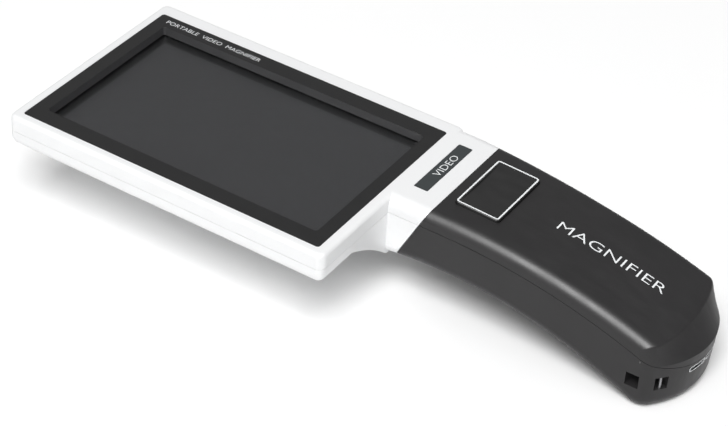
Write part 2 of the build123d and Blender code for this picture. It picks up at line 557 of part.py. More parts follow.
def display_tray():
    """Steel sheet that holds the panel up against the glass, with a slot and three windows."""
    sheet = slab(TRAY_LENGTH, TRAY_WIDTH, 2.0, tray_top(), TRAY_DEPTH)
    holes = [post(TINY_RADIUS + SCREW_PASS, 0, HEAD_DEPTH, x, y) for x, y in tray_posts()]
    slot = slab(TRAY_SLOT_LENGTH, TRAY_SLOT_WIDTH, 1.0, 0, HEAD_DEPTH, TRAY_SLOT_X, TRAY_SLOT_Y)
    windows = [slab(TRAY_WINDOW_LENGTH, TRAY_WINDOW_WIDTH, TRAY_WINDOW_CORNER, 0, HEAD_DEPTH, x,
                    TRAY_WINDOWS_Y) for x in TRAY_WINDOWS_X]
    return sheet - merge(holes) - slot - merge(windows)


def tray_screws():
    """Four small screws that hold the tray."""
    seat = tray_top() - TRAY_DEPTH
    return [screw(x, y, seat, seat + 3.0, TINY_RADIUS, TINY_HEAD_RADIUS, TINY_HEAD)
            for x, y in tray_posts()]


def label_plate():
    """Thin plate let into the top of the neck."""
    return slab(LABEL_LENGTH, LABEL_WIDTH, LABEL_CORNER, -0.02, LABEL_DEPTH - 0.04,
                LABEL_X, LABEL_Y)


# ---- electronics in the belly ------------------------------------------------------------------


def main_board():
    """Circuit board over the camera."""
    length, width = BOARD_RIGHT - BOARD_LEFT, BOARD_FAR - BOARD_NEAR
    board = slab(length, width, 1.5, BOARD_TOP, BOARD_DEPTH,
                 (BOARD_LEFT + BOARD_RIGHT) / 2, (BOARD_NEAR + BOARD_FAR) / 2)
    return board - merge([post(SCREW_RADIUS + SCREW_PASS, 0, 12, x, y) for x, y in BOARD_POSTS])


def chip(x, y, length, width):
    """One flat package on the board's upper side."""
    return slab(length, width, CHIP_CORNER, BOARD_TOP + CHIP_HEIGHT, CHIP_HEIGHT, x, y)


def board_chips():
    """Processor, memory, sound and power chips on the board's upper side."""
    return [chip(CHIP_LEFT, PROCESSOR_Y, PROCESSOR_SIZE, PROCESSOR_SIZE),
            chip(CHIP_LEFT, MEMORY_Y, MEMORY_LENGTH, MEMORY_WIDTH),
            chip(CHIP_RIGHT, POWER_Y, POWER_SIZE, POWER_SIZE),
            chip(CHIP_RIGHT, SOUND_Y, SOUND_SIZE, SOUND_SIZE)]


def shield_can():
    """Folded steel can over the power stage, under the board."""
    top, x, y = BOARD_TOP - BOARD_DEPTH, CAN_X, CAN_Y
    can = slab(CAN_LENGTH, CAN_WIDTH, CAN_CORNER, top, CAN_DEPTH, x, y)
    inner = slab(CAN_LENGTH - 2 * CAN_SHEET, CAN_WIDTH - 2 * CAN_SHEET, CAN_CORNER - CAN_SHEET,
                 top, CAN_DEPTH - CAN_SHEET, x, y)
    return can - inner


def socket(x, y, length, width, low, high):
    """Ribbon socket between two levels, with rounded corners."""
    return slab(length, width, CHIP_CORNER, high, high - low, x, y)


def board_connectors():
    """Sockets for the display's, the handle's and the camera's ribbons."""
    high, low = BOARD_TOP + SOCKET_HEIGHT, BOARD_TOP - BOARD_DEPTH
    return [socket(DISPLAY_SOCKET_X, TRAY_SLOT_Y, SOCKET_DEPTH, DISPLAY_SOCKET_WIDTH,
                   BOARD_TOP, high),
            socket(HANDLE_SOCKET_X, HANDLE_RIBBON_Y, SOCKET_DEPTH, HANDLE_SOCKET_WIDTH,
                   BOARD_TOP, high),
            socket(CAMERA_X, CAMERA_Y, CAMERA_SOCKET_LENGTH, SOCKET_DEPTH, CAMERA_BOARD_TOP, low)]


def board_screws():
    """Four screws that hold the main board."""
    return screws(BOARD_POSTS, BOARD_TOP, BOARD_TOP - 4.6)


def display_ribbon():
    """Ribbon from the panel, through the tray's slot, to the main board."""
    top, low = tray_top(), BOARD_TOP + DISPLAY_RIBBON_LIFT
    start, end = DISPLAY_RIBBON_X, DISPLAY_SOCKET_X - SOCKET_DEPTH / 2
    outline = Polygon((start, top), (start + RIBBON, top), (start + RIBBON, low + RIBBON),
                      (end, low + RIBBON), (end, low), (start, low), align=None)
    half = DISPLAY_RIBBON_WIDTH / 2
    return side_view(outline, TRAY_SLOT_Y - half, TRAY_SLOT_Y + half)


def camera_board():
    """Small board that carries the image sensor."""
    return slab(CAMERA_BOARD_SIZE, CAMERA_BOARD_SIZE, 0.8, CAMERA_BOARD_TOP, CAMERA_BOARD_DEPTH,
                CAMERA_X, CAMERA_Y)


def mount_top():
    """Level of the face that the lens mount hangs from."""
    return CAMERA_BOARD_TOP - CAMERA_BOARD_DEPTH


def image_sensor():
    """Image sensor under the camera board."""
    return slab(SENSOR_LENGTH, SENSOR_WIDTH, 0.2, mount_top(), SENSOR_DEPTH, CAMERA_X, CAMERA_Y)


def lens_mount():
    """Square holder that the lens barrel screws into."""
    top = mount_top()
    body = slab(MOUNT_SIZE, MOUNT_SIZE, 1.2, top, MOUNT_DEPTH, CAMERA_X, CAMERA_Y)
    chamber = slab(MOUNT_CHAMBER, MOUNT_CHAMBER, 0.5, top, top - BARREL_TOP + 0.1,
                   CAMERA_X, CAMERA_Y)
    bore = post(BARREL_RADIUS + SCREW_FIT, BARREL_TOP + 0.1, 6, CAMERA_X, CAMERA_Y)
    return body - chamber - bore


def lens_barrel():
    """Barrel with the lens seat at its lower end and the aperture behind it."""
    body = post(BARREL_RADIUS, BARREL_TOP, BARREL_DEPTH, CAMERA_X, CAMERA_Y)
    seat_top = LENS_TOP + LENS_BULGE
    seat = post(LENS_RADIUS + SCREW_FIT, seat_top, 6, CAMERA_X, CAMERA_Y)
    aperture = Pos(CAMERA_X, CAMERA_Y, (BARREL_TOP + seat_top) / 2) * Cone(
        2.1, 2.6, BARREL_TOP - seat_top)
    body = body - seat - aperture
    rim = body.faces().sort_by(Axis.Z)[0].edges()
    return chamfer(rim.sort_by(SortBy.RADIUS)[-1], 0.3)


def camera_lens():
    """Front lens, curved on both faces: a short rod between two balls."""
    ball = (LENS_RADIUS**2 + LENS_BULGE**2) / (2 * LENS_BULGE)
    middle = LENS_TOP - LENS_EDGE / 2
    offset = ball - LENS_BULGE - LENS_EDGE / 2
    rod = Cylinder(LENS_RADIUS, LENS_EDGE + 2 * LENS_BULGE)
    upper, lower = Pos(0, 0, -offset) * Sphere(ball), Pos(0, 0, offset) * Sphere(ball)
    return Pos(CAMERA_X, CAMERA_Y, middle) * (rod & upper & lower)


def light_board():
    """Ring-shaped board round the lens."""
    ring = post(LIGHT_OUTER, LIGHT_TOP, LIGHT_DEPTH, CAMERA_X, CAMERA_Y)
    return ring - post(LIGHT_INNER, 0, 30, CAMERA_X, CAMERA_Y)


def light_emitters():
    """White light emitters under the ring board."""
    level = LIGHT_TOP - LIGHT_DEPTH
    whole = []
    for turn in range(LIGHT_COUNT):
        spot = Location((CAMERA_X, CAMERA_Y, 0), (0, 0, 30 + 360 / LIGHT_COUNT * turn))
        whole.append(spot * slab(2.8, 3.0, 0.3, level, 0.8, LIGHT_CIRCLE, 0))
    return whole


def camera_window():
    """Clear window in the belly, in front of the lens and the light."""
    return post(WINDOW_RADIUS, WALL - BELLY_DEPTH, WINDOW_DEPTH - 0.02, CAMERA_X, CAMERA_Y)


# ---- hood --------------------------------------------------------------------------------------


def hood_screws():
    """Places of the screws that hold the hood."""
    return [(CAMERA_X + x, CAMERA_Y + y) for x in (-HOOD_SCREW_X, HOOD_SCREW_X)
            for y in (-HOOD_SCREW_Y, HOOD_SCREW_Y)]


def tapered(top, base, grow):
    """Block from the hood's upper outline to its lower one, grown or shrunk all round."""
    upper = RectangleRounded(HOOD_TOP_LENGTH + 2 * grow, HOOD_TOP_WIDTH + 2 * grow,
                             HOOD_TOP_CORNER + grow)
    lower = RectangleRounded(HOOD_LENGTH + 2 * grow, HOOD_WIDTH + 2 * grow, HOOD_CORNER + grow)
    return Pos(CAMERA_X, CAMERA_Y, 0) * loft([Pos(0, 0, base) * lower, Pos(0, 0, top) * upper])


def camera_hood():
    """Open skirt that stands the camera off the page."""
    base = GLIDE_DEPTH - STAND_HEIGHT
    ceiling = -BELLY_DEPTH - HOOD_PLATE
    body = tapered(-BELLY_DEPTH, base, 0)
    inside = tapered(-BELLY_DEPTH, base, -HOOD_WALL) - above_level(ceiling)
    hole = post(HOOD_HOLE, 0, 50, CAMERA_X, CAMERA_Y) - block(
        -FAR_AWAY, FAR_AWAY, -FAR_AWAY, FAR_AWAY, -FAR_AWAY, ceiling - 0.5)
    passes = [post(SCREW_RADIUS + SCREW_PASS, 0, 26, x, y) for x, y in hood_screws()]
    return body - inside - hole - merge(passes)


def glide_ring():
    """Soft ring on the hood's edge that slides over the page."""
    base = -STAND_HEIGHT
    x, y = CAMERA_X, CAMERA_Y
    ring = slab(HOOD_LENGTH, HOOD_WIDTH, HOOD_CORNER, base + GLIDE_DEPTH, GLIDE_DEPTH, x, y)
    ring = fillet(ring.faces().sort_by(Axis.Z)[0].edges(), GLIDE_EDGE)
    hole = slab(HOOD_LENGTH - 2 * HOOD_WALL, HOOD_WIDTH - 2 * HOOD_WALL, HOOD_CORNER - HOOD_WALL,
                0, 50, x, y)
    return ring - hole


# ---- handle ------------------------------------------------------------------------------------


def dark_form():
    """Handle beyond the slanting joint, as one block."""
    return handle_form() & beyond_seam(SEAM_GAP / 2)


def on_button(shape):
    """Moves a shape drawn level to the button's place on the sloping top."""
    tilt = degrees(atan((BUTTON_X - CROWN_START) / CROWN_RADIUS))
    drop = arc_drop(BUTTON_X, CROWN_START, CROWN_RADIUS)
    return Location((BUTTON_X, BUTTON_Y, -drop), (0, tilt, 0)) * shape


def handle_top_shell():
    """Upper dark shell, with the button's well and the posts of the button's board."""
    form = dark_form()
    upper = form - below_parting(-SEAM_GAP / 2)
    well = slab(BUTTON_LENGTH + 2 * WELL_WALL, BUTTON_WIDTH + 2 * WELL_WALL,
                BUTTON_CORNER + WELL_WALL, -1.0, WELL_DEPTH - 1.0)
    posts = [post(BUTTON_POST_RADIUS, -1.2, -1.2 - SWITCH_BASE, 0, y)
             for y in (-BUTTON_POST_Y, BUTTON_POST_Y)]
    holes = [post(SCREW_RADIUS + SCREW_FIT, SWITCH_BASE + 3.6, 5.0, 0, y)
             for y in (-BUTTON_POST_Y, BUTTON_POST_Y)]
    hole = slab(BUTTON_LENGTH + 2 * BUTTON_FIT, BUTTON_WIDTH + 2 * BUTTON_FIT,
                BUTTON_CORNER + BUTTON_FIT, 3, 8)
    shell = upper - handle_hollow()
    shell = shell + on_button(merge([well] + posts))
    grips = [post(GRIP_POST_RADIUS, 0, 60, x, y) for x, y in GRIP_SCREWS]
    shell = shell + (merge(grips) & upper)
    pilots = []
    for x, y in GRIP_SCREWS:
        roof = -arc_drop(x, EDGE_START, EDGE_RADIUS) - HANDLE_WALL
        pilots.append(post(SCREW_RADIUS + SCREW_FIT, roof, 30, x, y))
    return shell - on_button(merge([hole] + holes)) - merge(pilots)


def floor_level(x, lift=0.0):
    """Level of the handle's arched underside at x, or of a surface inside it."""
    return lift - ARCH_DEPTH - arc_drop(x, ARCH_APEX, ARCH_RADIUS + lift)


def eyelet_ring(inner, outer, top, depth):
    """Upright ring round the strap eyelet's column."""
    return post(outer, top, depth, EYELET_X, EYELET_Y) - post(
        inner, top + 1, depth + 2, EYELET_X, EYELET_Y)


def port_block(y, grow):
    """Space that one port fills, grown all round, from its back out past the end wall."""
    size = RectangleRounded(PORT_WIDTH + 2 * grow, PORT_HEIGHT + 2 * grow, PORT_CORNER + grow)
    return extrude(Pos(PORT_BACK, y, PORT_LEVEL) * (Plane.YZ * size),
                   HANDLE_END + BEYOND - PORT_BACK)


def grip_seat(x):
    """Level that a grip screw's head bears on, in its well in the underside."""
    return floor_level(x) + SCREW_HEAD + 0.6


def cover_space(grow, low, high):
    """Slice of the handle's floor over the battery, between two surfaces along its arch."""
    half = COVER_WIDTH / 2 + grow
    plan = block(COVER_START - grow, COVER_END + grow, HANDLE_MIDDLE - half,
                 HANDLE_MIDDLE + half, DEEP, 0)
    return (above_arch(low) - above_arch(high)) & plan


def handle_bottom_shell():
    """Lower dark shell, with the battery opening, the ports and the strap eyelet."""
    form = dark_form() & below_parting(SEAM_GAP / 2)
    corner_top, corner_depth = EYELET_TOP + EYELET_WALL, EYELET_HEIGHT + 2 * EYELET_WALL
    corner = post(EYELET_OUTER + EYELET_WALL, corner_top, corner_depth, EYELET_X, EYELET_Y)
    grips = [post(GRIP_POST_RADIUS, 0, 60, x, y) for x, y in GRIP_SCREWS]
    board_base = PORT_LEVEL - PORT_HEIGHT / 2 - PORT_BOARD_DEPTH
    shelf = [post(PORT_SHELF_RADIUS, board_base, FAR_AWAY, PORT_SHELF_X, y) for y in PORT_SHELF_Y]
    shell = form - handle_hollow()
    shell = shell + (merge([corner] + grips + shelf) & form)
    cuts = [eyelet_ring(EYELET_INNER, EYELET_OUTER, EYELET_TOP, EYELET_HEIGHT)]
    cuts.append(pin_rod(PIN_RADIUS + SCREW_FIT))
    cuts += [port_block(y, PORT_FIT) for y in (CHARGING_Y, VIDEO_Y)]
    half = COVER_WIDTH / 2
    cuts.append(block(COVER_START, COVER_END, HANDLE_MIDDLE - half, HANDLE_MIDDLE + half,
                      DEEP, floor_level(COVER_START) + 6) - above_arch(HANDLE_WALL + 1))
    for x, y in GRIP_SCREWS:
        cuts.append(post(SCREW_HEAD_RADIUS + SCREW_WELL, grip_seat(x), 20, x, y))
        cuts.append(post(SCREW_RADIUS + SCREW_PASS, 0, 60, x, y))
    for x, y in NECK_SCREWS:
        cuts.append(post(SCREW_HEAD_RADIUS + SCREW_WELL, floor_level(x) + SCREW_HEAD, 20, x, y))
        cuts.append(post(SCREW_RADIUS + SCREW_PASS, 0, 60, x, y))
    return shell - merge(cuts)


def pin_rod(radius):
    """Rod across the eyelet's height, with its ends let into the shell."""
    return post(radius, EYELET_TOP + PIN_BITE, EYELET_HEIGHT + 2 * PIN_BITE, PIN_X, PIN_Y)


def strap_pin():
    """Steel pin that a wrist strap loops round."""
    return pin_rod(PIN_RADIUS)


def grip_screws():
    """Screws that hold the two dark shells together."""
    whole = []
    for x, y in GRIP_SCREWS:
        seat = grip_seat(x)
        tip = -arc_drop(x, EDGE_START, EDGE_RADIUS) - HANDLE_WALL - 0.4
        whole.append(screw(x, y, seat, max(tip - 4, seat + 9) if x > 100 else tip))
    return whole


def neck_screws():
    """Screws that hold the handle to the head's tongue."""
    return [screw(x, y, floor_level(x) + SCREW_HEAD, TONGUE_TOP - 0.3) for x, y in NECK_SCREWS]


# ---- button ------------------------------------------------------------------------------------


def outline_ring(inset, width, top, depth):
    """Thin frame that follows the button's edge."""
    outer = slab(BUTTON_LENGTH - 2 * inset, BUTTON_WIDTH - 2 * inset, BUTTON_CORNER - inset, top,
                 depth)
    inner = slab(BUTTON_LENGTH - 2 * inset - 2 * width, BUTTON_WIDTH - 2 * inset - 2 * width,
                 max(BUTTON_CORNER - inset - width, 0.3), top + 1, depth + 2)
    return outer - inner


def power_button():
    """Button cap: a hollow shell with a dished top, a flange inside and a stem."""
    top = BUTTON_RISE
    cap = slab(BUTTON_LENGTH, BUTTON_WIDTH, BUTTON_CORNER, top, top - FLANGE_TOP)
    cap = fillet(cap.faces().sort_by(Axis.Z)[-1].edges(), BUTTON_EDGE)
    flange = slab(BUTTON_LENGTH + 2 * FLANGE_REACH, BUTTON_WIDTH + 2 * FLANGE_REACH,
                  BUTTON_CORNER + FLANGE_REACH, FLANGE_TOP, FLANGE_DEPTH)
    roof = top - BUTTON_ROOF
    inside = slab(BUTTON_LENGTH - 2 * BUTTON_WALL, BUTTON_WIDTH - 2 * BUTTON_WALL, 0.8, roof, 10)
    stem = post(PLUNGER_RADIUS - 0.3, roof + 0.5, roof + 0.5 - PLUNGER_TOP, 0, 0)
    half = BUTTON_WIDTH / 2 - DISH_MARGIN - OUTLINE_INSET
    dish_radius = (half**2 + DISH_DEPTH**2) / (2 * DISH_DEPTH)
    dish = Pos(0, 0, top - DISH_DEPTH + dish_radius) * Rot(0, 90, 0) * Cylinder(
        dish_radius, BUTTON_LENGTH - 2 * DISH_MARGIN - 2 * OUTLINE_INSET)
    groove = outline_ring(OUTLINE_INSET, OUTLINE_WIDTH, top + 1, 1 + OUTLINE_DEPTH)
    return on_button(cap + flange - inside + stem - dish - groove)


def button_outline():
    """Pale inlay round the button's top."""
    return on_button(outline_ring(OUTLINE_INSET, OUTLINE_WIDTH, BUTTON_RISE, OUTLINE_DEPTH))


def switch_plunger():
    """Plunger of the switch, which the button's stem pushes."""
    return on_button(post(PLUNGER_RADIUS, PLUNGER_TOP, PLUNGER_DEPTH, 0, 0))


def tactile_switch():
    """Switch under the button."""
    body = slab(SWITCH_SIZE, SWITCH_SIZE, 0.5, SWITCH_TOP, SWITCH_TOP - SWITCH_BASE)
    depth = PLUNGER_TOP - PLUNGER_DEPTH - BUTTON_TRAVEL - 0.2
    return on_button(body - post(PLUNGER_RADIUS + PLUNGER_FIT, 0, -depth, 0, 0))


def button_board():
    """Small board under the switch."""
    board = slab(BUTTON_BOARD_LENGTH, BUTTON_BOARD_WIDTH, 1.0, SWITCH_BASE, BUTTON_BOARD_DEPTH)
    holes = [post(SCREW_RADIUS + SCREW_PASS, 0, 20, 0, y)
             for y in (-BUTTON_POST_Y, BUTTON_POST_Y)]
    return on_button(board - merge(holes))


def button_board_screws():
    """Two screws that hold the button's board."""
    seat = SWITCH_BASE - BUTTON_BOARD_DEPTH
    return [on_button(screw(0, y, seat, seat + 4.2))
            for y in (-BUTTON_POST_Y, BUTTON_POST_Y)]


# ---- battery and ports -------------------------------------------------------------------------


def battery_pack():
    """Flat rechargeable pack, lying along the handle."""
    pack = fillet(Box(BATTERY_LENGTH, BATTERY_WIDTH, BATTERY_DEPTH).edges().filter_by(Axis.Y),
                  BATTERY_EDGE)
    return Location((BATTERY_X, HANDLE_MIDDLE, BATTERY_Z), (0, BATTERY_TILT, 0)) * pack


def battery_contacts():
    """Brass leaves that stand on the floor at the battery's end."""
    base = floor_level(CONTACT_X, HANDLE_WALL) + 0.02
    return [block(CONTACT_X, CONTACT_X + CONTACT_DEPTH, HANDLE_MIDDLE + y - CONTACT_WIDTH / 2,
                  HANDLE_MIDDLE + y + CONTACT_WIDTH / 2, base, base + 9.0)
            for y in (-CONTACT_PITCH, 0, CONTACT_PITCH)]


def battery_cover():
    """Curved door in the underside, with two tabs at its front and a catch at its back."""
    door = cover_space(-COVER_FIT, 0, COVER_DEPTH)
    pieces = [door]
    for offset in (-TAB_OFFSET, TAB_OFFSET):
        near = HANDLE_MIDDLE + offset - TAB_WIDTH / 2
        far = near + TAB_WIDTH
        tab = (above_arch(TAB_LOW) - above_arch(TAB_HIGH)) & block(
            COVER_START - TAB_REACH, COVER_START + TAB_ROOT, near, far, DEEP, 0)
        root = (above_arch(COVER_DEPTH - 0.2) - above_arch(TAB_HIGH)) & block(
            COVER_START + COVER_FIT, COVER_START + TAB_ROOT, near, far, DEEP, 0)
        pieces += [tab, root]
    catch = (above_arch(COVER_DEPTH - 0.2) - above_arch(CATCH_HIGH)) & block(
        CATCH_X, CATCH_X + CATCH_DEPTH, HANDLE_MIDDLE - CATCH_HALF, HANDLE_MIDDLE + CATCH_HALF,
        DEEP, 0)
    pieces.append(catch)
    thumb = Pos(THUMB_X, HANDLE_MIDDLE, floor_level(THUMB_X) + THUMB_DEPTH - THUMB_RADIUS)
    return merge(pieces) - thumb * Sphere(THUMB_RADIUS)


def port_shell(y):
    """Drawn steel shell of one port, open at the front and flush with the end wall."""
    shell = port_block(y, 0) - Pos(PORT_SHELL, 0, 0) * port_block(y, -PORT_SHELL)
    return shell & handle_form()


def port_tongues():
    """Insulating tongues with the contacts inside the ports."""
    half, thick = PORT_TONGUE_HALF, PORT_TONGUE_THICK / 2
    return [block(PORT_BACK + PORT_SHELL, PORT_TONGUE_END, y - half, y + half,
                  PORT_LEVEL - thick, PORT_LEVEL + thick) for y in (CHARGING_Y, VIDEO_Y)]


def port_board():
    """Board that the ports stand on."""
    top = PORT_LEVEL - PORT_HEIGHT / 2
    return slab(PORT_BOARD_RIGHT - PORT_BOARD_LEFT, PORT_BOARD_FAR - PORT_BOARD_NEAR, 0.6, top,
                PORT_BOARD_DEPTH, (PORT_BOARD_LEFT + PORT_BOARD_RIGHT) / 2,
                (PORT_BOARD_NEAR + PORT_BOARD_FAR) / 2)


def handle_ribbon():
    """Ribbon from the main board through the neck to the button's board."""
    start, half = HANDLE_SOCKET_X + SOCKET_DEPTH / 2, HANDLE_RIBBON_WIDTH / 2
    return block(start, HANDLE_RIBBON_END, HANDLE_RIBBON_Y - half, HANDLE_RIBBON_Y + half,
                 HANDLE_RIBBON_LEVEL - RIBBON / 2, HANDLE_RIBBON_LEVEL + RIBBON / 2)


def falling_layer(upper, lower):
    """Layer that follows the handle's top between two depths."""
    tip = HANDLE_END + BEYOND
    top = falling_arc(EDGE_START, tip, EDGE_START, EDGE_RADIUS - upper, -upper)
    under = falling_arc(EDGE_START, tip, EDGE_START, EDGE_RADIUS - lower, -lower)
    return side_view(closed([top, Line(top @ 1, under @ 1), under, Line(under @ 0, top @ 0)]))


def port_ribbon():
    """Ribbon from the button's board, over the battery, to the port board."""
    depth = HANDLE_WALL + 1.3
    band = falling_layer(depth, depth + RIBBON) & block(
        PORT_RIBBON_RISE, PORT_RIBBON_END, -FAR_AWAY, FAR_AWAY, DEEP, HIGH)
    near, far = PORT_RIBBON_NEAR, PORT_RIBBON_FAR
    knee = -depth - arc_drop(PORT_RIBBON_RISE, EDGE_START, EDGE_RADIUS) - RIBBON / 2
    low = PORT_RIBBON_LEAD
    lead = block(PORT_RIBBON_START, PORT_RIBBON_RISE + RIBBON, near, far, low, low + RIBBON)
    climb = block(PORT_RIBBON_RISE, PORT_RIBBON_RISE + RIBBON, near, far, low, knee)
    tail_top = -depth - arc_drop(PORT_RIBBON_END, EDGE_START, EDGE_RADIUS) - RIBBON / 2
    tail = block(PORT_RIBBON_END - RIBBON, PORT_RIBBON_END, near, far,
                 PORT_LEVEL - PORT_HEIGHT / 2, tail_top)
    return merge([band & block(0, FAR_AWAY, near, far, DEEP, HIGH), lead, climb, tail])


# ---- writing -----------------------------------------------------------------------------------


def write(name, shape):
    """Moves a sub-part to the part's own origin and writes it."""
    solids = shape if isinstance(shape, list) else shape.solids()
    group = Compound(children=[TO_ORIGIN * solid for solid in solids])
    export_step(group, f"parts/{name}.step")


def sub_parts():
    """Every node's name and its maker."""
    return {
        "front_housing": front_housing,
        "rear_housing": rear_housing,
        "housing_screws": lambda: screws(HEAD_SCREWS, HEAD_SCREW_LEVEL, -2.9),
        "label_plate": label_plate,
        "screen_bezel": screen_bezel,
        "display_gasket": display_gasket,
        "touch_glass": touch_glass,
        "display_panel": display_panel,
        "display_tray": display_tray,
        "tray_screws": tray_screws,
        "display_ribbon": display_ribbon,
        "main_board": main_board,
        "board_chips": board_chips,
        "shield_can": shield_can,
        "board_connectors": board_connectors,
        "board_screws": board_screws,
        "camera_board": camera_board,
        "image_sensor": image_sensor,
        "lens_mount": lens_mount,
        "lens_barrel": lens_barrel,
        "camera_lens": camera_lens,
        "light_board": light_board,
        "light_emitters": light_emitters,
        "camera_window": camera_window,
        "camera_hood": camera_hood,
        "hood_screws": lambda: screws(hood_screws(), -BELLY_DEPTH - HOOD_PLATE, -18.6),
        "glide_ring": glide_ring,
        "handle_top_shell": handle_top_shell,
        "handle_bottom_shell": handle_bottom_shell,
        "grip_screws": grip_screws,
        "neck_screws": neck_screws,
        "strap_pin": strap_pin,
        "power_button": power_button,
        "button_outline": button_outline,
        "switch_plunger": switch_plunger,
        "tactile_switch": tactile_switch,
        "button_board": button_board,
        "button_board_screws": button_board_screws,
        "battery_pack": battery_pack,
        "battery_contacts": battery_contacts,
        "battery_cover": battery_cover,
        "charging_port": lambda: port_shell(CHARGING_Y),
        "video_port": lambda: port_shell(VIDEO_Y),
        "port_tongues": port_tongues,
        "port_board": port_board,
        "handle_ribbon": handle_ribbon,
        "port_ribbon": port_ribbon,
    }


def main():
    """Writes every node."""
    for name, make in sub_parts().items():
        write(name, make())


if __name__ == "__main__":
    main()
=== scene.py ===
import json
from math import cos, pi, radians, sin

import bmesh
import bpy
from mathutils import Matrix, Vector
from mathutils.bvhtree import BVHTree


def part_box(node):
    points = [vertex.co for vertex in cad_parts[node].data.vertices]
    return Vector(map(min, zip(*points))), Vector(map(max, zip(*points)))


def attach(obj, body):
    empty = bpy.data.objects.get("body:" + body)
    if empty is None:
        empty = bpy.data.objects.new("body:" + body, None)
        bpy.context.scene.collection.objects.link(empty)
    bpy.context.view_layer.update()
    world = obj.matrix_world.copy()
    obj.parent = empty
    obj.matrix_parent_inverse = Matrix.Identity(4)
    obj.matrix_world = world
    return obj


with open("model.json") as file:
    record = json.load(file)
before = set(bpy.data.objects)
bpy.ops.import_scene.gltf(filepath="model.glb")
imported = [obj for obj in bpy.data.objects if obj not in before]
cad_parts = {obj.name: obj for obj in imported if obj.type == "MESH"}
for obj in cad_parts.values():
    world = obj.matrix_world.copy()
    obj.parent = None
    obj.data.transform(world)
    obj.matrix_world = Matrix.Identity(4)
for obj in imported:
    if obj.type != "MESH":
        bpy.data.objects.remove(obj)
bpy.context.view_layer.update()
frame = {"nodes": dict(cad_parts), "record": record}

MM = 0.001
MAIN_BODY = "magnifier"

# Camera: where it looks from, in degrees and metres
VIEW_AZIMUTH, VIEW_ELEVATION, VIEW_ROLL = 30.9, 37.66, 3.82
VIEW_DISTANCE, VIEW_AIM = 0.68, Vector((0.0015, -0.0065, 0.0287))
LENS_MM, SENSOR_MM = 112.77, 36.0

# Light: a key lamp above the near side, a panel that only adds gleams, and even surroundings
WORLD_LIGHT = 0.38
LAMP_DISTANCE, LAMP_TARGET = 2.5, Vector((0, 0, 0.02))
KEY_DIRECTION, KEY_SIZE, KEY_POWER = (0.2, -0.5, 0.84), 1.2, 60.0
GLEAM_DIRECTION, GLEAM_SIZE, GLEAM_POWER = (0.0, -0.68, 0.73), 2.2, 205.0

# Floor: how far it reaches, its drop under the object, and its painted shade, darker with distance
FLOOR_REACH, FLOOR_DROP = 4.0, 0.05 * MM
FLOOR_BRIGHT, FLOOR_DIM = 0.35, 1.1
FLOOR_SHADE_TINT, FLOOR_GRAIN = (0.4, 0.4, 0.4), 0.6

# Printed words: generic ones only, with their height, length and distance from a CAD node
HANDLE_WORD, BEZEL_WORDS, LABEL_WORD = "MAGNIFIER", "PORTABLE  VIDEO  MAGNIFIER", "VIDEO"
HANDLE_WORD_HEIGHT, HANDLE_WORD_DROP = 3.8 * MM, 0.4 * MM
HANDLE_WORD_START, HANDLE_WORD_END = 21.6 * MM, 17.0 * MM
BEZEL_WORDS_HEIGHT, BEZEL_WORDS_LENGTH = 1.75 * MM, 37.0 * MM
BEZEL_WORDS_LEFT, BEZEL_WORDS_UP = 32.3 * MM, 32.4 * MM
LABEL_WORD_HEIGHT, LABEL_WORD_LENGTH = 2.4 * MM, 12.0 * MM
LABEL_WORD_RIGHT, LABEL_WORD_UP = 0.1 * MM, 1.2 * MM
INK_DEPTH, INK_RISE, INK_FALL = 0.03 * MM, 0.02 * MM, 40 * MM
FONT_STEPS, FONT_THINNING, FONT_DEPTH = 6, -0.012, 0.5

# Lit area of the display, inside its black border
ACTIVE_LENGTH, ACTIVE_WIDTH = 95.04 * MM, 53.86 * MM

# Domes of the light emitters: their circle, and each one's size, flatness and sink
LIGHT_COUNT, LIGHT_CIRCLE, LIGHT_START = 6, 8.6 * MM, 30
DOME_RADIUS, DOME_FLATNESS, DOME_SINK = 1.05 * MM, 0.22, 0.05 * MM
DOME_SEGMENTS, DOME_RINGS = 24, 12

# Moulded plastic: grain of the colour drift and of the rubbed gloss, and how they are mixed
DRIFT_GRAIN, SPECK_GRAIN, RUB_GRAIN = 18 * MM, 1.7, 9 * MM
DRIFT_SHARE, SPECK_SHARE = 0.6, 0.4
NOISE_LOW, NOISE_HIGH = 0.3, 0.7
# Facing range over which upright faces change to the paler painted light colour
WALL_LOW, WALL_HIGH = 0.6, 0.95

# Printed tracks on boards and ribbons, and the pads between them
TRACK_SCALE, TRACK_GAP, PAD_GRAIN, PAD_SHARE = 260.0, 0.02, 2.6 * MM, 0.13
RIBBON_SCALE = 320.0


# ---- places taken from the frame ---------------------------------------------------------------


def middle(node):
    """Middle of a CAD node's box."""
    low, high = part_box(node)
    return (low + high) / 2


# ---- node helpers ------------------------------------------------------------------------------


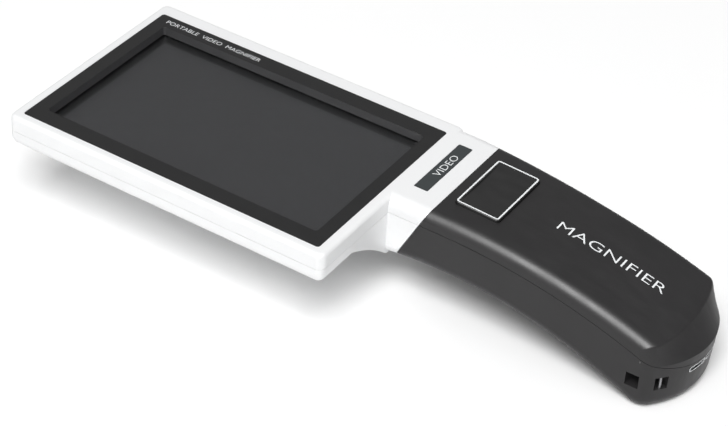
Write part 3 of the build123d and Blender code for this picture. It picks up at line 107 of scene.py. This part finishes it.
class Recipe:
    """A material and short ways to add nodes to it."""

    def __init__(self, name, color, roughness, **sockets):
        self.material = bpy.data.materials.new(name)
        self.material.use_nodes = True
        self.tree = self.material.node_tree
        self.shader = next(n for n in self.tree.nodes if n.type == "BSDF_PRINCIPLED")
        self.set("Base Color", (*color, 1.0))
        self.set("Roughness", roughness)
        for socket, value in sockets.items():
            self.set(socket.replace("_", " "), value)
        self.place = self.add("ShaderNodeTexCoord").outputs["Object"]

    def add(self, kind, **settings):
        """New node with its settings."""
        node = self.tree.nodes.new(kind)
        for name, value in settings.items():
            setattr(node, name, value)
        return node

    def set(self, socket, value):
        """Constant on the shader's own socket."""
        self.shader.inputs[socket].default_value = value

    def link(self, source, target):
        """Joins two sockets."""
        self.tree.links.new(source, target)

    def noise(self, grain, detail=3.0, stretch=(1, 1, 1)):
        """Noise whose features are about grain metres across."""
        scaled = self.add("ShaderNodeMapping")
        scaled.inputs["Scale"].default_value = [1 / (grain * s) for s in stretch]
        self.link(self.place, scaled.inputs["Vector"])
        texture = self.add("ShaderNodeTexNoise")
        texture.inputs["Scale"].default_value = 1.0
        texture.inputs["Detail"].default_value = detail
        self.link(scaled.outputs["Vector"], texture.inputs["Vector"])
        return texture.outputs["Fac"]

    def cells(self, grain):
        """Cell pattern whose cells are about grain metres across."""
        texture = self.add("ShaderNodeTexVoronoi", feature="F1")
        texture.inputs["Scale"].default_value = 1 / grain
        self.link(self.place, texture.inputs["Vector"])
        return texture.outputs["Distance"]

    def spread(self, value, low, high, start=0.0, end=1.0):
        """Maps a value from start..end to low..high."""
        node = self.add("ShaderNodeMapRange")
        limits = {"From Min": start, "From Max": end, "To Min": low, "To Max": high}
        for name, number in limits.items():
            node.inputs[name].default_value = number
        self.link(value, node.inputs["Value"])
        return node.outputs["Result"]

    def maths(self, operation, a, b):
        """One sum on two values; either may be a number."""
        node = self.add("ShaderNodeMath", operation=operation)
        for socket, value in zip(node.inputs, (a, b)):
            if isinstance(value, (int, float)):
                socket.default_value = value
            else:
                self.link(value, socket)
        return node.outputs[0]

    def blend(self, share, first, second):
        """Colour between two colours or sockets."""
        node = self.add("ShaderNodeMix", data_type="RGBA")
        self.link(share, node.inputs[0])
        for socket, value in ((node.inputs[6], first), (node.inputs[7], second)):
            if isinstance(value, (tuple, list)):
                socket.default_value = (*value, 1.0)
            else:
                self.link(value, socket)
        return node.outputs[2]

    def color(self, socket):
        """Colour from a socket."""
        self.link(socket, self.shader.inputs["Base Color"])

    def roughness(self, socket):
        """Roughness from a socket."""
        self.link(socket, self.shader.inputs["Roughness"])

    def bump(self, height, depth):
        """Bump of depth metres from a height of 0 to 1."""
        node = self.add("ShaderNodeBump")
        node.inputs["Distance"].default_value = depth
        self.link(height, node.inputs["Height"])
        self.link(node.outputs["Normal"], self.shader.inputs["Normal"])

    def along(self, axis):
        """Position along one of the axes, in metres."""
        split = self.add("ShaderNodeSeparateXYZ")
        self.link(self.place, split.inputs[0])
        return split.outputs[axis]

    def level(self):
        """How nearly the surface faces straight up or down, from 0 to 1."""
        split = self.add("ShaderNodeSeparateXYZ")
        self.link(self.add("ShaderNodeTexCoord").outputs["Normal"], split.inputs[0])
        upward = self.maths("ABSOLUTE", split.outputs[2], 0)
        return self.spread(upward, 0.0, 1.0, WALL_LOW, WALL_HIGH)


def scaled(color, by):
    """Colour times a number."""
    return tuple(min(channel * by, 1.0) for channel in color)


# ---- materials ---------------------------------------------------------------------------------


def moulded(name, color, roughness, grain, depth, mottle=0.04, lit_wall_tint=None, **sockets):
    """Moulded plastic: fine spark texture and slow colour drift. Upright faces may get a paler
    colour, painted light.
    """
    made = Recipe(name, color, roughness, **sockets)
    drift = made.noise(DRIFT_GRAIN, 2.0)
    speck = made.noise(grain * SPECK_GRAIN, 2.0)
    mixed = made.maths("ADD", made.maths("MULTIPLY", drift, DRIFT_SHARE),
                       made.maths("MULTIPLY", speck, SPECK_SHARE))
    share = made.spread(mixed, 0, 1, NOISE_LOW, NOISE_HIGH)
    tint = made.blend(share, scaled(color, 1 - mottle), scaled(color, 1 + mottle))
    # Upright faces blend to a paler colour: painted light on them.
    if lit_wall_tint is not None:
        tint = made.blend(made.level(), lit_wall_tint, tint)
    made.color(tint)
    rub = made.noise(RUB_GRAIN, 4.0, (1.0, 0.35, 1.0))
    made.roughness(made.spread(rub, roughness - 0.05, roughness + 0.06, NOISE_LOW, NOISE_HIGH))
    made.bump(made.noise(grain, 2.0), depth)
    return made.material


def white_plastic():
    return moulded("white_plastic", (0.8, 0.805, 0.81), 0.36, 0.35 * MM, 0.006 * MM, 0.012)


def dark_plastic():
    return moulded("dark_plastic", (0.0165, 0.0158, 0.0165), 0.45, 0.28 * MM, 0.012 * MM, 0.12,
                   Specular_IOR_Level=0.35)


def button_plastic():
    return moulded("button_plastic", (0.008, 0.0078, 0.008), 0.42, 0.3 * MM, 0.008 * MM, 0.1)


def hood_plastic():
    return moulded("hood_plastic", (0.02, 0.02, 0.021), 0.6, 0.5 * MM, 0.03 * MM, 0.12)


def bezel_plastic():
    """Black printed face; its upright faces, those of the screen opening among them, are painted
    paler, as painted light.
    """
    # The paler colour given for the upright faces is painted light.
    return moulded("bezel_plastic", (0.006, 0.006, 0.0063), 0.38, 0.25 * MM, 0.006 * MM, 0.1,
                   lit_wall_tint=(0.042, 0.042, 0.044))


def label_film():
    return moulded("label_film", (0.03, 0.036, 0.038), 0.4, 0.3 * MM, 0.004 * MM, 0.08)


def printed_ink(name, color):
    """Screen-printed ink: nearly even, with a faint grain."""
    made = Recipe(name, color, 0.45)
    grain = made.noise(0.2 * MM, 3.0)
    made.color(made.blend(grain, scaled(color, 0.9), color))
    made.bump(grain, 0.003 * MM)
    return made.material


def touch_pane():
    """Clear touch glass with a faint smear of fingerprints in its gloss."""
    made = Recipe("touch_pane", (0.9, 0.92, 0.94), 0.03, Transmission_Weight=1.0, IOR=1.5,
                  Alpha=0.25)
    smear = made.noise(14 * MM, 5.0, (1.0, 0.5, 1.0))
    made.roughness(made.spread(smear, 0.02, 0.07, 0.45, 0.75))
    return made.material


def display_film():
    """Display that is switched off: grey active area inside a black printed border."""
    made = Recipe("display_film", (0.02, 0.02, 0.021), 0.3)
    centre = middle("display_panel")
    across = made.maths("ABSOLUTE", made.maths("SUBTRACT", made.along(0), centre.x), 0)
    along = made.maths("ABSOLUTE", made.maths("SUBTRACT", made.along(1), centre.y), 0)
    inside = made.maths("MULTIPLY", made.maths("LESS_THAN", across, ACTIVE_LENGTH / 2),
                        made.maths("LESS_THAN", along, ACTIVE_WIDTH / 2))
    grain = made.noise(0.12 * MM, 2.0)
    active = made.blend(grain, (0.046, 0.046, 0.049), (0.054, 0.054, 0.057))
    made.color(made.blend(inside, (0.02, 0.02, 0.021), active))
    return made.material


def clear_window():
    made = Recipe("clear_window", (0.95, 0.97, 0.97), 0.02, Transmission_Weight=1.0, IOR=1.49)
    made.roughness(made.spread(made.noise(6 * MM, 4.0), 0.01, 0.05, 0.4, 0.7))
    return made.material


def coated_lens():
    """Lens glass with a violet and green coating."""
    made = Recipe("coated_lens", (0.6, 0.55, 0.85), 0.02, Transmission_Weight=0.85, IOR=1.6,
                  Coat_Weight=1.0, Coat_Roughness=0.03)
    facing = made.add("ShaderNodeLayerWeight")
    facing.inputs["Blend"].default_value = 0.35
    made.color(made.blend(facing.outputs["Facing"], (0.42, 0.3, 0.75), (0.25, 0.6, 0.4)))
    return made.material


def soft_rubber(name, color, roughness):
    """Rubber or foam: matte, with a fine pebble."""
    made = Recipe(name, color, roughness, Sheen_Weight=0.15)
    pebble = made.cells(0.25 * MM)
    made.color(made.blend(made.noise(3 * MM, 3.0), scaled(color, 0.85), scaled(color, 1.15)))
    made.bump(pebble, 0.02 * MM)
    return made.material


def brushed_metal(name, color, roughness, stretch):
    """Rolled or brushed metal with fine lines along its length."""
    made = Recipe(name, color, roughness, Metallic=1.0)
    lines = made.noise(0.08 * MM, 3.0, stretch)
    made.color(made.blend(lines, scaled(color, 0.88), scaled(color, 1.08)))
    made.roughness(made.spread(lines, roughness - 0.08, roughness + 0.1, NOISE_LOW, NOISE_HIGH))
    made.bump(lines, 0.002 * MM)
    return made.material


def circuit_board():
    """Green solder mask over copper tracks, with small tinned pads."""
    made = Recipe("circuit_board", (0.012, 0.11, 0.045), 0.35, Coat_Weight=0.3)
    tracks = made.add("ShaderNodeTexBrick")
    tracks.inputs["Scale"].default_value = TRACK_SCALE
    tracks.inputs["Mortar Size"].default_value = TRACK_GAP
    tracks.inputs["Color1"].default_value = (0, 0, 0, 1)
    tracks.inputs["Color2"].default_value = (0.35, 0.35, 0.35, 1)
    tracks.inputs["Mortar"].default_value = (1, 1, 1, 1)
    made.link(made.place, tracks.inputs["Vector"])
    masked = made.blend(tracks.outputs["Color"], (0.01, 0.095, 0.038), (0.03, 0.2, 0.075))
    pads = made.maths("LESS_THAN", made.cells(PAD_GRAIN), PAD_SHARE)
    made.color(made.blend(pads, masked, (0.62, 0.6, 0.52)))
    made.bump(tracks.outputs["Fac"], 0.01 * MM)
    return made.material


def moulded_chip():
    return moulded("moulded_chip", (0.02, 0.02, 0.022), 0.55, 0.15 * MM, 0.006 * MM, 0.15)


def light_emitter():
    made = Recipe("light_emitter", (0.9, 0.9, 0.86), 0.35, Coat_Weight=0.4)
    made.color(made.blend(made.noise(0.4 * MM), (0.86, 0.86, 0.82), (0.93, 0.93, 0.9)))
    return made.material


def phosphor():
    """Yellow phosphor under clear resin."""
    made = Recipe("phosphor", (0.85, 0.7, 0.12), 0.25, Coat_Weight=1.0, Coat_Roughness=0.05)
    made.color(made.blend(made.noise(0.15 * MM), (0.8, 0.62, 0.08), (0.9, 0.76, 0.18)))
    return made.material


def ribbon_film():
    """Amber ribbon film over parallel copper tracks."""
    made = Recipe("ribbon_film", (0.5, 0.24, 0.05), 0.3, Coat_Weight=0.4)
    lines = made.add("ShaderNodeTexWave", wave_type="BANDS", bands_direction="Y")
    lines.inputs["Scale"].default_value = RIBBON_SCALE
    made.link(made.place, lines.inputs["Vector"])
    made.color(made.blend(lines.outputs["Fac"], (0.32, 0.13, 0.02), (0.6, 0.3, 0.08)))
    return made.material


def battery_wrap():
    """Shrink film: glossy, slightly wrinkled, its colour darker in the hollows of the wrinkles:
    painted shade.
    """
    made = Recipe("battery_wrap", (0.03, 0.07, 0.19), 0.28, Coat_Weight=0.5, Coat_Roughness=0.12)
    folds = made.noise(5 * MM, 4.0, (3.0, 1.0, 1.0))
    # Colour follows the wrinkle height, darker in the hollows: painted shade.
    made.color(made.blend(folds, (0.022, 0.055, 0.15), (0.04, 0.085, 0.23)))
    made.bump(folds, 0.12 * MM)
    return made.material


def studio_floor():
    """Pale seamless floor, darker with distance from the object: painted shade."""
    made = Recipe("studio_floor", (0.93, 0.93, 0.93), 0.9, Specular_IOR_Level=0.1)
    far = made.add("ShaderNodeVectorMath", operation="LENGTH")
    made.link(made.place, far.inputs[0])
    pale = made.blend(made.noise(FLOOR_GRAIN), (0.92, 0.92, 0.92), (0.94, 0.94, 0.94))
    # Colour darkens between these distances: painted shade for the light falling off.
    painted_falloff = made.spread(far.outputs["Value"], 0.0, 1.0, FLOOR_BRIGHT, FLOOR_DIM)
    made.color(made.blend(painted_falloff, pale, FLOOR_SHADE_TINT))
    return made.material


def dress_nodes():
    """Gives every CAD node its finish, by the record's material slots."""
    finishes = {
        "white_plastic": white_plastic(),
        "dark_plastic": dark_plastic(),
        "button_plastic": button_plastic(),
        "hood_plastic": hood_plastic(),
        "bezel_plastic": bezel_plastic(),
        "label_film": label_film(),
        "outline_inlay": printed_ink("outline_inlay", (0.86, 0.88, 0.89)),
        "screen_glass": touch_pane(),
        "display_film": display_film(),
        "window_glass": clear_window(),
        "lens_glass": coated_lens(),
        "gasket_foam": soft_rubber("gasket_foam", (0.012, 0.012, 0.012), 0.95),
        "glide_rubber": soft_rubber("glide_rubber", (0.04, 0.04, 0.043), 0.75),
        "tray_steel": brushed_metal("tray_steel", (0.6, 0.61, 0.62), 0.32, (12, 1, 1)),
        "screw_steel": brushed_metal("screw_steel", (0.3, 0.3, 0.31), 0.35, (1, 1, 6)),
        "port_steel": brushed_metal("port_steel", (0.72, 0.73, 0.74), 0.22, (8, 1, 1)),
        "contact_brass": brushed_metal("contact_brass", (0.8, 0.6, 0.28), 0.25, (1, 1, 8)),
        "board_laminate": circuit_board(),
        "chip_plastic": moulded_chip(),
        "barrel_metal": brushed_metal("barrel_metal", (0.05, 0.05, 0.053), 0.4, (1, 1, 0.2)),
        "emitter_resin": light_emitter(),
        "plunger_plastic": moulded("plunger_plastic", (0.7, 0.69, 0.64), 0.5, 0.3 * MM,
                                   0.005 * MM),
        "ribbon_film": ribbon_film(),
        "battery_wrap": battery_wrap(),
    }
    for part in frame["record"]["subparts"]:
        node = frame["nodes"][part["node"]]
        if not node.material_slots:
            node.data.materials.append(None)
        for place in node.material_slots:
            place.material = finishes[part["material_slot"]]
    return finishes


# ---- printed words -----------------------------------------------------------------------------


def word_mesh(name, words, cap_height, length):
    """Flat mesh of some words, centred on the origin, as tall and as long as asked."""
    text = bpy.data.curves.new(name, "FONT")
    text.body = words
    text.resolution_u = FONT_STEPS
    text.offset = FONT_THINNING
    text.extrude = FONT_DEPTH
    holder = bpy.data.objects.new(name, text)
    bpy.context.collection.objects.link(holder)
    solved = holder.evaluated_get(bpy.context.evaluated_depsgraph_get())
    mesh = bpy.data.meshes.new_from_object(solved)
    bpy.data.objects.remove(holder)
    low = [min(v.co[i] for v in mesh.vertices) for i in range(3)]
    high = [max(v.co[i] for v in mesh.vertices) for i in range(3)]
    wanted = (length, cap_height, INK_DEPTH)
    stretch = [wanted[i] / (high[i] - low[i]) for i in range(3)]
    for v in mesh.vertices:
        v.co = [(v.co[i] - (low[i] + high[i]) / 2) * stretch[i] for i in range(3)]
    mesh.name = name
    return mesh


def printed(name, words, cap_height, length, place, turn, on, body, ink):
    """Prints words on a CAD node: laid out flat at place, then dropped onto the node's surface."""
    mesh = word_mesh(name, words, cap_height, length)
    surface = frame["nodes"][on].data
    tree = BVHTree.FromPolygons([v.co for v in surface.vertices],
                                [p.vertices for p in surface.polygons])
    rotation = Matrix.Rotation(turn, 3, "Z")
    for v in mesh.vertices:
        spot = rotation @ v.co
        start = Vector((place[0] + spot.x, place[1] + spot.y, place[2] + INK_FALL))
        hit = tree.ray_cast(start, Vector((0, 0, -1)))[0]
        v.co = Vector((start.x, start.y, hit.z + INK_RISE + spot.z))
    piece = bpy.data.objects.new(name, mesh)
    bpy.context.collection.objects.link(piece)
    mesh.materials.append(ink)
    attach(piece, body)


def print_words(ink):
    """The generic words on the handle, the bezel and the label plate."""
    button = middle("power_button")
    handle_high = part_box("handle_top_shell")[1]
    start, end = button.x + HANDLE_WORD_START, handle_high.x - HANDLE_WORD_END
    printed("handle_lettering", HANDLE_WORD, HANDLE_WORD_HEIGHT, end - start,
            ((start + end) / 2, button.y - HANDLE_WORD_DROP, handle_high.z), 0.0,
            "handle_top_shell", MAIN_BODY, ink)
    bezel_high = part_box("screen_bezel")[1]
    glass = middle("touch_glass")
    printed("bezel_lettering", BEZEL_WORDS, BEZEL_WORDS_HEIGHT, BEZEL_WORDS_LENGTH,
            (glass.x - BEZEL_WORDS_LEFT, glass.y + BEZEL_WORDS_UP, bezel_high.z), 0.0,
            "screen_bezel", MAIN_BODY, ink)
    label = middle("label_plate")
    printed("label_lettering", LABEL_WORD, LABEL_WORD_HEIGHT, LABEL_WORD_LENGTH,
            (label.x + LABEL_WORD_RIGHT, label.y + LABEL_WORD_UP, label.z), pi / 2,
            "label_plate", MAIN_BODY, ink)


# ---- small pieces seen through the window ------------------------------------------------------


def joined(name, build, material, body):
    """One piece from a bmesh that build fills."""
    form = bmesh.new()
    build(form)
    mesh = bpy.data.meshes.new(name)
    form.to_mesh(mesh)
    form.free()
    mesh.materials.append(material)
    piece = bpy.data.objects.new(name, mesh)
    bpy.context.collection.objects.link(piece)
    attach(piece, body)
    return piece


def light_phosphors(material):
    """Yellow dome of each light emitter, under the emitter's own square."""
    centre, low = middle("light_emitters"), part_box("light_emitters")[0]

    def domes(form):
        for turn in range(LIGHT_COUNT):
            angle = radians(LIGHT_START + 360 / LIGHT_COUNT * turn)
            spot = Vector((centre.x + LIGHT_CIRCLE * cos(angle),
                           centre.y + LIGHT_CIRCLE * sin(angle), low.z))
            dome = bmesh.ops.create_uvsphere(form, u_segments=DOME_SEGMENTS,
                                             v_segments=DOME_RINGS, radius=DOME_RADIUS)
            for v in dome["verts"]:
                v.co = Vector((v.co.x, v.co.y, v.co.z * DOME_FLATNESS)) + spot
                v.co.z = min(v.co.z, low.z + DOME_SINK)

    piece = joined("light_phosphors", domes, material, MAIN_BODY)
    for face in piece.data.polygons:
        face.use_smooth = True


# ---- studio ------------------------------------------------------------------------------------


def make_camera():
    """Camera at the chosen angle and distance."""
    azimuth, elevation = radians(VIEW_AZIMUTH), radians(VIEW_ELEVATION)
    back = Vector((sin(azimuth) * cos(elevation), -cos(azimuth) * cos(elevation), sin(elevation)))
    right = Vector((cos(azimuth), sin(azimuth), 0))
    rolled = Matrix.Rotation(radians(VIEW_ROLL), 3, back) @ right
    up = back.cross(rolled)
    data = bpy.data.cameras.new("camera")
    data.lens, data.sensor_width = LENS_MM, SENSOR_MM
    camera = bpy.data.objects.new("camera", data)
    bpy.context.collection.objects.link(camera)
    axes = Matrix((rolled, up, back)).transposed().to_4x4()
    camera.matrix_world = Matrix.Translation(VIEW_AIM + back * VIEW_DISTANCE) @ axes
    bpy.context.scene.camera = camera


def softbox(name, direction, size, power):
    """Square area light that faces the object."""
    data = bpy.data.lights.new(name, "AREA")
    data.shape, data.size, data.size_y, data.energy = "RECTANGLE", size, size, power
    lamp = bpy.data.objects.new(name, data)
    bpy.context.collection.objects.link(lamp)
    away = Vector(direction).normalized()
    lamp.location = LAMP_TARGET + away * LAMP_DISTANCE
    lamp.rotation_mode = "QUATERNION"
    lamp.rotation_quaternion = away.to_track_quat("Z", "Y")
    return lamp


def make_floor():
    """Pale floor under the object."""
    turns = ((-1, -1), (1, -1), (1, 1), (-1, 1))
    corners = [(x * FLOOR_REACH, y * FLOOR_REACH, 0) for x, y in turns]
    floor_mesh = bpy.data.meshes.new("floor")
    floor_mesh.from_pydata(corners, [], [(0, 1, 2, 3)])
    floor_mesh.materials.append(studio_floor())
    floor = bpy.data.objects.new("floor", floor_mesh)
    floor.location.z = -FLOOR_DROP
    bpy.context.collection.objects.link(floor)


def make_lights():
    """Even surroundings and two soft lamps."""
    world = bpy.data.worlds.new("studio")
    world.use_nodes = True
    background = world.node_tree.nodes["Background"]
    background.inputs["Color"].default_value = (1.0, 1.0, 1.0, 1.0)
    background.inputs["Strength"].default_value = WORLD_LIGHT
    bpy.context.scene.world = world
    softbox("key_light", KEY_DIRECTION, KEY_SIZE, KEY_POWER)
    gleam = softbox("gleam_panel", GLEAM_DIRECTION, GLEAM_SIZE, GLEAM_POWER)
    gleam.visible_diffuse = False
    bpy.context.scene.view_settings.view_transform = "Standard"


# ---- the whole scene ---------------------------------------------------------------------------

finish_by_slot = dress_nodes()
print_words(finish_by_slot["outline_inlay"])
light_phosphors(phosphor())
make_camera()
make_floor()
make_lights()
